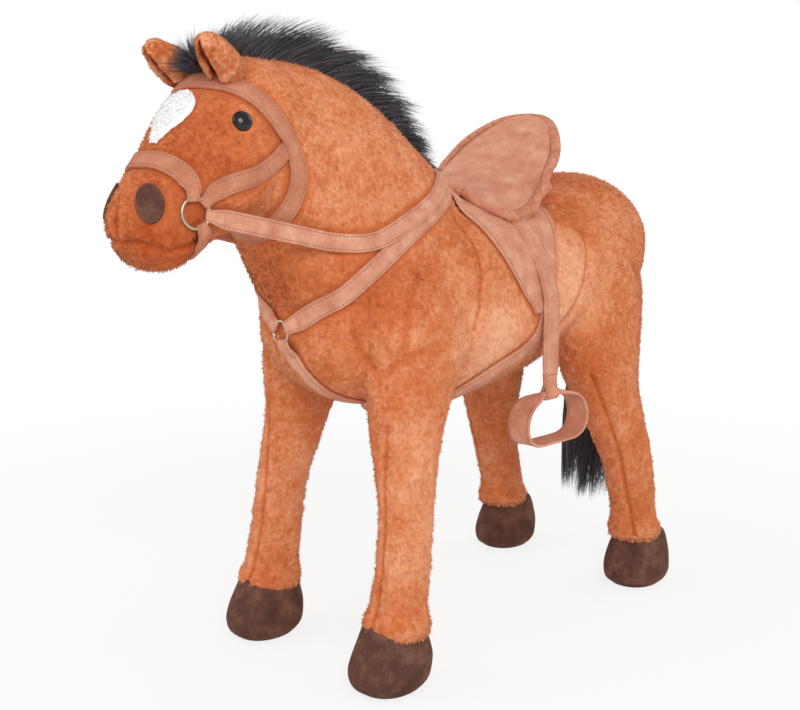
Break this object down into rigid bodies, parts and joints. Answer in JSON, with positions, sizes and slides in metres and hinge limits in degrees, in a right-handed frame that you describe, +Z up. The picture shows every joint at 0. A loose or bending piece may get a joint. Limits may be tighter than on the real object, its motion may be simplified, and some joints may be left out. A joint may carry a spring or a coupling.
{
  "type": "plush horse",
  "caption": "Standing plush horse on an inner steel frame, with hair mane and tail, bridle, breast harness, saddle and hanging stirrups.",
  "frame": {"origin": "on the floor under the middle of the whole horse", "axes": "+Z up, the horse faces -Y and its left side is +X"},
  "size_m": [0.3008, 0.8126, 0.6757],
  "materials": {
    "plush": "short-pile plush",
    "tail_dock": "short-pile plush",
    "ear_lining": "short-pile plush",
    "blaze": "short-pile plush",
    "nostril": "suede-like fabric",
    "hoof": "suede-like fabric",
    "sole": "smooth",
    "hair": "long-pile hair",
    "eye": "polished",
    "washer": "moulded",
    "tack": "suede",
    "seat": "suede over stuffing",
    "ring": "satin",
    "frame": "drawn tube"
  },
  "bodies": {
    "horse": {"belly_strap": "tack", "blaze": "blaze", "breast_strap_left": "tack", "breast_strap_right": "tack", "brow_throat_strap": "tack", "cheek_strap_left": "tack", "cheek_strap_right": "tack", "chin_strap": "tack", "ear_left": "plush", "ear_lining_left": "ear_lining", "ear_lining_right": "ear_lining", "ear_right": "plush", "eye_left": "eye", "eye_right": "eye", "eye_washer_left": "washer", "eye_washer_right": "washer", "front_leg_frame": "frame", "front_leg_left": "plush", "front_leg_right": "plush", "girth": "tack", "head": "plush", "hind_leg_frame": "frame", "hind_leg_left": "plush", "hind_leg_right": "plush", "hoof_front_left": "hoof", "hoof_front_right": "hoof", "hoof_hind_left": "hoof", "hoof_hind_right": "hoof", "mane": "hair", "neck": "plush", "neck_tube": "frame", "noseband": "tack", "nostril_left": "nostril", "nostril_right": "nostril", "rein_left": "tack", "rein_right": "tack", "saddle_flap_left": "tack", "saddle_flap_right": "tack", "saddle_seat": "seat", "seat_binding": "tack", "sole_front_left": "sole", "sole_front_right": "sole", "sole_hind_left": "sole", "sole_hind_right": "sole", "spine_tube": "frame", "stirrup_strap_upper_left": "tack", "stirrup_strap_upper_right": "tack", "tail_dock": "tail_dock", "torso": "plush"},
    "tail": {"tail_hair": "hair"},
    "stirrup_strap_left": {"stirrup_strap_left": "tack"},
    "stirrup_strap_right": {"stirrup_strap_right": "tack"},
    "stirrup_left": {"stirrup_left": "tack"},
    "stirrup_right": {"stirrup_right": "tack"},
    "bit_ring_left": {"bit_ring_left": "ring"},
    "bit_ring_right": {"bit_ring_right": "ring"},
    "chest_ring": {"chest_ring": "ring"}
  },
  "joints": [
    {"name": "tail_swing", "type": "hinge", "parent": "horse", "child": "tail", "pos_m": [0, 0.37112, 0.43863], "axis": [1, 0, 0], "range_deg": [-3, 70]},
    {"name": "stirrup_strap_swing_left", "type": "hinge", "parent": "horse", "child": "stirrup_strap_left", "pos_m": [0.1222, 0.0766, 0.39102], "axis": [1, 0, 0], "range_deg": [-30, 8]},
    {"name": "stirrup_swing_left", "type": "hinge", "parent": "stirrup_strap_left", "child": "stirrup_left", "pos_m": [0.1222, 0.0766, 0.28102], "axis": [0, 1, 0], "range_deg": [-60, 20]},
    {"name": "stirrup_strap_swing_right", "type": "hinge", "parent": "horse", "child": "stirrup_strap_right", "pos_m": [-0.1222, 0.0766, 0.39102], "axis": [1, 0, 0], "range_deg": [-30, 8]},
    {"name": "stirrup_swing_right", "type": "hinge", "parent": "stirrup_strap_right", "child": "stirrup_right", "pos_m": [-0.1222, 0.0766, 0.28102], "axis": [0, 1, 0], "range_deg": [-20, 60]},
    {"name": "bit_ring_left_turn", "type": "hinge", "parent": "horse", "child": "bit_ring_left", "pos_m": [0.05201, -0.35635, 0.49629], "axis": [0.9903, -0.1173, 0.0741], "continuous": true},
    {"name": "bit_ring_right_turn", "type": "hinge", "parent": "horse", "child": "bit_ring_right", "pos_m": [-0.05201, -0.35635, 0.49629], "axis": [-0.9903, -0.1173, 0.0741], "continuous": true},
    {"name": "chest_ring_turn", "type": "hinge", "parent": "horse", "child": "chest_ring", "pos_m": [0, -0.21838, 0.36974], "axis": [0, -1, 0], "continuous": true}
  ]
}
